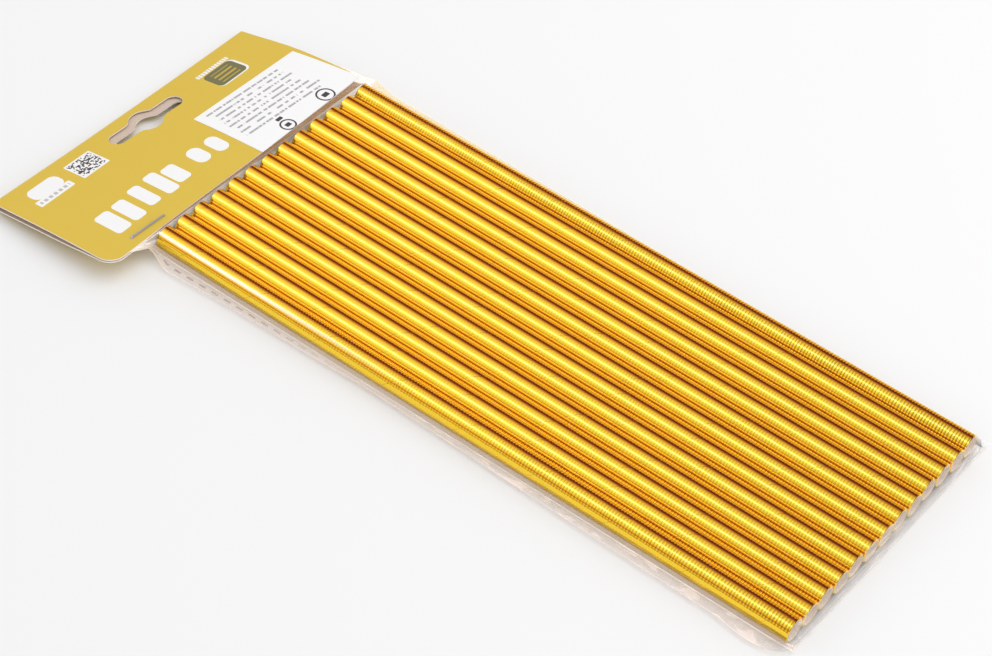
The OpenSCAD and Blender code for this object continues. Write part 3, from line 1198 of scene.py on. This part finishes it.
@dataclass
class Staple:
    """The staple's wire: a crown on the front panel, two legs through the card, and ends folded in behind."""

    card: HeaderCard
    middle: float = -33.4
    half: float = 6.05
    crown: float = 0.27
    behind: float = -1.25
    reach: float = 1.65
    bend: float = 0.6
    wire: float = 0.3
    bend_steps: int = 5
    sides: int = 12
    # Depth of its near and its far end from the card's open edge
    depths: Span = (2.99, 2.41)

    def path(self) -> list[Vector]:
        """Returns the wire's middle line as places along the card and heights."""
        corners = [
            (-self.reach, self.behind), (-self.half, self.behind), (-self.half, self.crown),
            (self.half, self.crown), (self.half, self.behind), (self.reach, self.behind),
        ]
        points = [Vector(corner) for corner in corners]
        path = [points[0]]
        for before, corner, after in zip(points, points[1:], points[2:]):
            start = corner + (before - corner).normalized() * self.bend
            end = corner + (after - corner).normalized() * self.bend
            for i in range(self.bend_steps + 1):
                share = i / self.bend_steps
                path.append(start.lerp(corner, share).lerp(corner.lerp(end, share), share))
        return path + [points[-1]]

    def build(self) -> bpy.types.Object:
        """Returns the staple."""
        path = self.path()
        rings = []
        for i, middle in enumerate(path):
            ahead = (path[min(i + 1, len(path) - 1)] - path[max(i - 1, 0)]).normalized()
            ring = []
            for k in range(self.sides):
                angle = math.tau * k / self.sides
                out = self.wire * math.cos(angle)
                u, n = middle.x - ahead.y * out, middle.y + ahead.x * out
                v = mix(*self.depths, 0.5 + middle.x / self.half / 2) + self.wire * math.sin(angle)
                ring.append(self.card.point(v, self.middle + u, n))
            rings.append(ring)
        mesh = bmesh.new()
        sweep(mesh, rings)
        bmesh.ops.holes_fill(mesh, edges=[e for e in mesh.edges if e.is_boundary], sides=0)
        bmesh.ops.recalc_face_normals(mesh, faces=mesh.faces[:])
        return finish_piece(mesh, "staple_wire", [WireFinish().make()], ["staple"])


@dataclass
class FilmBag:
    """The clear film bag: a flat tube welded along both sides and folded at its far end."""

    card: HeaderCard
    straw_end: float = 97.67
    outer_y: float = 39.12
    top: float = 6.7
    under_spread: float = 1.5
    weld_thick: float = 0.16
    mouth_near: float = -43.5
    mouth_far: float = 51.0
    mouth_depth: float = 8.0
    mouth_lip: float = -0.12
    mouth_half: float = 0.08
    film: float = 0.05
    # Steps across the underside, round each side and across the top
    under_steps: int = 12
    side_steps: int = 12
    top_steps: int = 48
    # The closed end: its length, its height and the rise of its underside at the tip, and its sections
    end_length: float = 2.2
    end_high: float = 1.6
    end_low: float = 1.4
    end_shares: tuple[float, ...] = (1.0, 0.97, 0.9, 0.8, 0.65, 0.5, 0.35, 0.2, 0.0)
    end_crumple: float = 0.35
    crumple_scale: float = 0.35
    crumple_by: Place = (0.4, 0.6, 1.0)
    # Sections over the straws and towards the mouth, one that is plain, and shares of the way into the mouth
    body_start: float = 3.0
    body_end: float = -88.0
    body_steps: int = 63
    neck_places: tuple[float, ...] = (-90.0, -92.0, -94.0, -96.0, -97.72)
    plain_place: float = -60.0
    neck_shares: tuple[float, ...] = (0.25, 0.5, 0.75)
    # Root and tip of each weld: place along, distance out and height
    near_root: tuple[Place, ...] = (
        (-97.7, 43.6, 2.2), (-95.0, 43.1, 1.3), (-90.0, 42.9, 0.9), (99.9, 42.8, 0.9),
    )
    near_tip: tuple[Place, ...] = (
        (-97.7, 45.2, 3.2), (-96.0, 45.0, 2.4), (-94.0, 45.6, 1.6), (-92.0, 46.3, 1.1), (-90.0, 46.6, 0.9),
        (-84.0, 46.1, 0.75), (-70.0, 45.4, 0.75), (-40.0, 44.7, 0.75), (-28.0, 44.1, 0.75), (0.0, 44.6, 0.75),
        (47.0, 45.6, 0.75), (80.0, 45.8, 0.75), (88.0, 47.0, 0.75), (94.0, 46.6, 0.75), (99.9, 43.6, 1.0),
    )
    far_root: tuple[Place, ...] = ((-97.7, 43.0, 2.4), (-88.0, 43.0, 1.5), (40.0, 43.0, 0.9))
    far_tip: tuple[Place, ...] = ((-97.7, 45.6, 4.2), (-92.0, 45.6, 2.2), (40.0, 45.4, 0.9))

    def weld(self, x: float, points: Sequence[Place]) -> Point:
        """Reads a weld's line.

        Args:
            x: Place along.
            points: The line.

        Returns:
            Its distance out and its height there.
        """
        for (x0, y0, z0), (x1, y1, z1) in zip(points, points[1:]):
            if x <= x1:
                share = max(0.0, (x - x0) / (x1 - x0))
                return mix(y0, y1, share), mix(z0, z1, share)
        return points[-1][1], points[-1][2]

    def section(self, x: float, low: float, high: float) -> list[Point]:
        """Returns the bag's section, from the near weld under the straws and back over them.

        Args:
            x: Place along.
            low: Height of the underside.
            high: Height of the top.

        Returns:
            Points as (y, z).
        """
        lines = (self.near_root, self.near_tip, self.far_root, self.far_tip)
        near_root, near_tip, far_root, far_tip = (self.weld(x, line) for line in lines)
        flat = self.outer_y + self.under_spread
        under = [(-near_tip[0], near_tip[1]), (-near_root[0], near_root[1])]
        under += [(mix(-flat, flat, i / self.under_steps), low) for i in range(self.under_steps + 1)]
        under += [far_root, far_tip]
        t = self.weld_thick
        r = (high - low) / 2
        middle = (high + low) / 2
        angles = [math.pi * i / (2 * self.side_steps) for i in range(self.side_steps + 1)]
        arc = [(r * math.cos(angle), middle + r * math.sin(angle)) for angle in angles]
        over = [(far_tip[0], far_tip[1] + t), (far_root[0], far_root[1] + t)]
        over += [(self.outer_y + a, b) for a, b in arc]
        shares = [i / self.top_steps for i in range(1, self.top_steps)]
        over += [(mix(self.outer_y, -self.outer_y, share), high) for share in shares]
        over += [(-self.outer_y - a, b) for a, b in reversed(arc)]
        over += [(-near_root[0], near_root[1] + t), (-near_tip[0], near_tip[1] + t)]
        return under + over

    def under_count(self) -> int:
        """Returns how many points of a section are below: the flat's, and each weld's root and tip."""
        return self.under_steps + 5

    def ways(self) -> list[float]:
        """Returns how far round each point of a section is, as the film's finish counts it."""
        sides = [i / self.side_steps for i in range(self.side_steps + 1)]
        top = [mix(-2.0, 2.0, i / self.top_steps) for i in range(1, self.top_steps)]
        under = [34.0] + [30.0] * (self.under_count() - 2) + [34.0]
        far = [-14.0, -10.0] + [mix(-6.0, -2.0, share) for share in sides]
        near = [mix(2.0, 6.0, share) for share in sides] + [10.0, 14.0]
        return under + far + top + near

    def crumple(self, point: Vector, amount: float) -> Vector:
        """Moves a point as crumpled film does.

        Args:
            point: The point.
            amount: How far at most.

        Returns:
            The moved point.
        """
        shift = noise.noise_vector(point * self.crumple_scale + Vector((3.0, 0.0, 0.0)))
        return point + shift * Vector(self.crumple_by) * amount

    def rings(self) -> list[list[Vector]]:
        """Returns the sections from the closed end to the mouth."""
        rings = []
        for s in self.end_shares:
            x = self.straw_end + self.end_length * s
            high = self.end_high + (self.top - self.end_high) * math.sqrt(1 - s * s)
            points = [Vector((x, y, z)) for y, z in self.section(x, self.end_low * s ** 4, high)]
            rings.append([self.crumple(p, self.end_crumple * s) for p in points])
        start = self.straw_end - self.body_start
        xs = [mix(start, self.body_end, i / self.body_steps) for i in range(self.body_steps + 1)]
        for x in xs + list(self.neck_places):
            rings.append([Vector((x, y, z)) for y, z in self.section(x, 0.0, self.top)])
        last, mouth = rings[-1], self.pressed(self.mouth_lip)
        rings += [[a.lerp(b, share) for a, b in zip(last, mouth)] for share in self.neck_shares]
        return rings + [mouth, self.pressed(self.mouth_depth)]

    def pressed(self, v: float) -> list[Vector]:
        """Returns the section pressed flat between the panels.

        Args:
            v: Depth from the card's open edges.

        Returns:
            Its points.
        """
        middle = -self.card.thick - self.card.gap_open / 2
        flat = self.section(self.plain_place, 0.0, self.top)
        widest = max(abs(y) for y, _ in flat)
        made = []
        for i, (y, _) in enumerate(flat):
            u = mix(self.mouth_near, self.mouth_far, 0.5 + y / widest / 2)
            side = -self.mouth_half if i < self.under_count() else self.mouth_half
            made.append(self.card.point(v, u, middle + side))
        return made

    def build(self) -> bpy.types.Object:
        """Returns the bag, with a UV map of the place along and the way round."""
        rings = self.rings()
        mesh = bmesh.new()
        placed = sweep(mesh, rings)
        closing = [e for e in mesh.edges if e.is_boundary and min(v.co.x for v in e.verts) > 0]
        bmesh.ops.holes_fill(mesh, edges=closing, sides=0)
        bmesh.ops.recalc_face_normals(mesh, faces=mesh.faces[:])
        layer = mesh.loops.layers.uv.new("sheet")
        ways = self.ways()
        for face in mesh.faces:
            for loop in face.loops:
                loop[layer].uv = (loop.vert.co.x * MM, ways[placed[loop.vert]] * MM)
        piece = finish_piece(mesh, "film_bag", [FilmFinish().make()], ["bag_film"])
        wall = piece.modifiers.new("film", "SOLIDIFY")
        wall.thickness = self.film * MM
        wall.offset = -1.0
        return piece


@dataclass(frozen=True)
class Lamp:
    """A square lamp that faces the pack, with its place and side in metres and its power in watts."""

    name: str
    place_m: Place
    side_m: float
    power: float

    def build(self) -> None:
        """Hangs the lamp, unseen in reflections."""
        data = bpy.data.lights.new(self.name, "AREA")
        data.shape = "SQUARE"
        data.size = self.side_m
        data.energy = self.power
        lamp = bpy.data.objects.new(self.name, data)
        lamp.visible_glossy = False
        at = Vector(self.place_m)
        lamp.matrix_world = Matrix.Translation(at) @ (-at).to_track_quat("-Z", "Y").to_matrix().to_4x4()
        bpy.context.scene.collection.objects.link(lamp)


@dataclass
class Studio:
    """Pale floor, soft light and the camera at the photograph's angle."""

    camera_at: Vector = field(default_factory=lambda: Vector((272.89, -442.50, 507.44)))
    right: Vector = field(default_factory=lambda: Vector((0.78557, 0.61337, 0.08159)))
    down: Vector = field(default_factory=lambda: Vector((0.47534, -0.51379, -0.71420)))
    ahead: Vector = field(default_factory=lambda: Vector((-0.39615, 0.59983, -0.69517)))
    lens: float = 104.82
    sensor: float = 36.0
    clip_start_m: float = 0.01
    floor_colour: Colour = (0.93, 0.93, 0.935, 1.0)
    floor_half_m: float = 3.0
    floor_drop_m: float = 0.0001
    # Light round the straws' axis, from the horizon behind them over the top to the horizon before them
    strips: tuple[tuple[float, Place], ...] = (
        (0.0, (0.80, 0.50, 0.12)), (0.10, (0.90, 0.55, 0.10)), (0.14, (0.75, 0.36, 0.05)),
        (0.175, (0.22, 0.05, 0.02)), (0.207, (0.13, 0.015, 0.01)), (0.265, (0.16, 0.02, 0.01)),
        (0.30, (0.36, 0.12, 0.04)), (0.35, (0.64, 0.38, 0.32)), (0.396, (0.88, 0.66, 0.65)),
        (0.44, (0.98, 0.88, 0.95)), (0.50, (1.05, 1.0, 1.1)), (0.56, (1.2, 1.3, 1.7)),
        (0.59, (1.3, 1.55, 2.6)), (0.61, (2.2, 2.5, 8.0)), (0.64, (2.2, 2.5, 8.0)), (0.66, (1.3, 1.5, 2.2)),
        (0.74, (1.05, 1.05, 1.1)), (0.80, (0.95, 0.88, 0.80)), (0.835, (0.88, 0.70, 0.50)),
        (0.86, (0.60, 0.25, 0.10)), (0.89, (0.60, 0.25, 0.10)), (0.92, (1.0, 0.85, 0.60)),
        (0.96, (0.95, 0.80, 0.45)), (1.0, (0.2, 0.15, 0.1)),
    )
    # The strongest light of a strip, which the ramp holds as 1
    peak: float = 8.0
    ahead_step: Span = (0.15, -0.50)
    horizon_step: Span = (-0.02, 0.02)
    side: float = 0.35
    soft: float = 0.77
    lamps: tuple[Lamp, ...] = (
        Lamp("soft_box", (0.25, 0.6, 1.1), 1.2, 5.0), Lamp("end_light", (0.95, 0.1, 0.35), 0.6, 1.5),
    )

    def camera(self) -> None:
        """Sets the camera."""
        data = bpy.data.cameras.new("camera")
        data.lens = self.lens
        data.sensor_width = self.sensor
        data.clip_start = self.clip_start_m
        camera = bpy.data.objects.new("camera", data)
        turn = Matrix((self.right, -self.down, -self.ahead)).transposed()
        camera.matrix_world = Matrix.Translation(self.camera_at * MM) @ turn.to_4x4()
        bpy.context.scene.collection.objects.link(camera)
        bpy.context.scene.camera = camera

    def floor(self) -> None:
        """Lays the floor."""
        mesh = bmesh.new()
        bmesh.ops.create_grid(mesh, x_segments=4, y_segments=4, size=self.floor_half_m)
        bmesh.ops.translate(mesh, vec=(0.0, 0.0, -self.floor_drop_m), verts=mesh.verts[:])
        data = bpy.data.meshes.new("floor")
        mesh.to_mesh(data)
        mesh.free()
        made, kit = material("floor_paper")
        kit.surface({"Base Color": self.floor_colour, "Roughness": 0.9, "Specular IOR Level": 0.1})
        data.materials.append(made)
        floor = bpy.data.objects.new("floor", data)
        bpy.context.scene.collection.objects.link(floor)

    def world(self) -> None:
        """Lights the scene with soft strips that run along the straws, dim behind them."""
        world = bpy.data.worlds.new("studio")
        world.use_nodes = True
        bpy.context.scene.world = world
        kit = NodeKit(world.node_tree)
        x, y, z = kit.axes(kit.add("ShaderNodeTexCoord").outputs["Generated"])
        angle = z.math("ARCTAN2", y) / math.pi
        stops = [(place, (*(share / self.peak for share in light), 1.0)) for place, light in self.strips]
        ramp = kit.add("ShaderNodeValToRGB", {"stops": stops}, {"Fac": angle})
        along = x.step(*self.ahead_step) * (1.0 - self.side) + self.side
        path = kit.add("ShaderNodeLightPath")
        seen = Term(kit, path.outputs["Is Camera Ray"])
        shiny = Term(kit, path.outputs["Is Glossy Ray"])
        mirrored = along * z.step(*self.horizon_step) * self.peak
        strength = shiny * mirrored + (1.0 - shiny) * (seen * (1.0 - self.soft) + self.soft)
        colour = kit.blend(shiny, (1.0, 1.0, 1.0, 1.0), ramp.outputs["Color"])
        background = kit.add("ShaderNodeBackground", None, {"Color": colour, "Strength": strength})
        kit.add("ShaderNodeOutputWorld", None, {"Surface": background.outputs["Background"]})

    def build(self) -> None:
        """Sets up the whole studio."""
        self.camera()
        self.floor()
        self.world()
        for lamp in self.lamps:
            lamp.build()
        bpy.context.scene.view_settings.view_transform = "Standard"


def main() -> None:
    """Builds the pack piece by piece."""
    logging.basicConfig(level=logging.INFO, format="%(name)s: %(message)s")
    StrawLayer().build()
    card = HeaderCard()
    card.build()
    Staple(card).build()
    FilmBag(card).build()
    Studio().build()


if __name__ == "__main__":
    main()
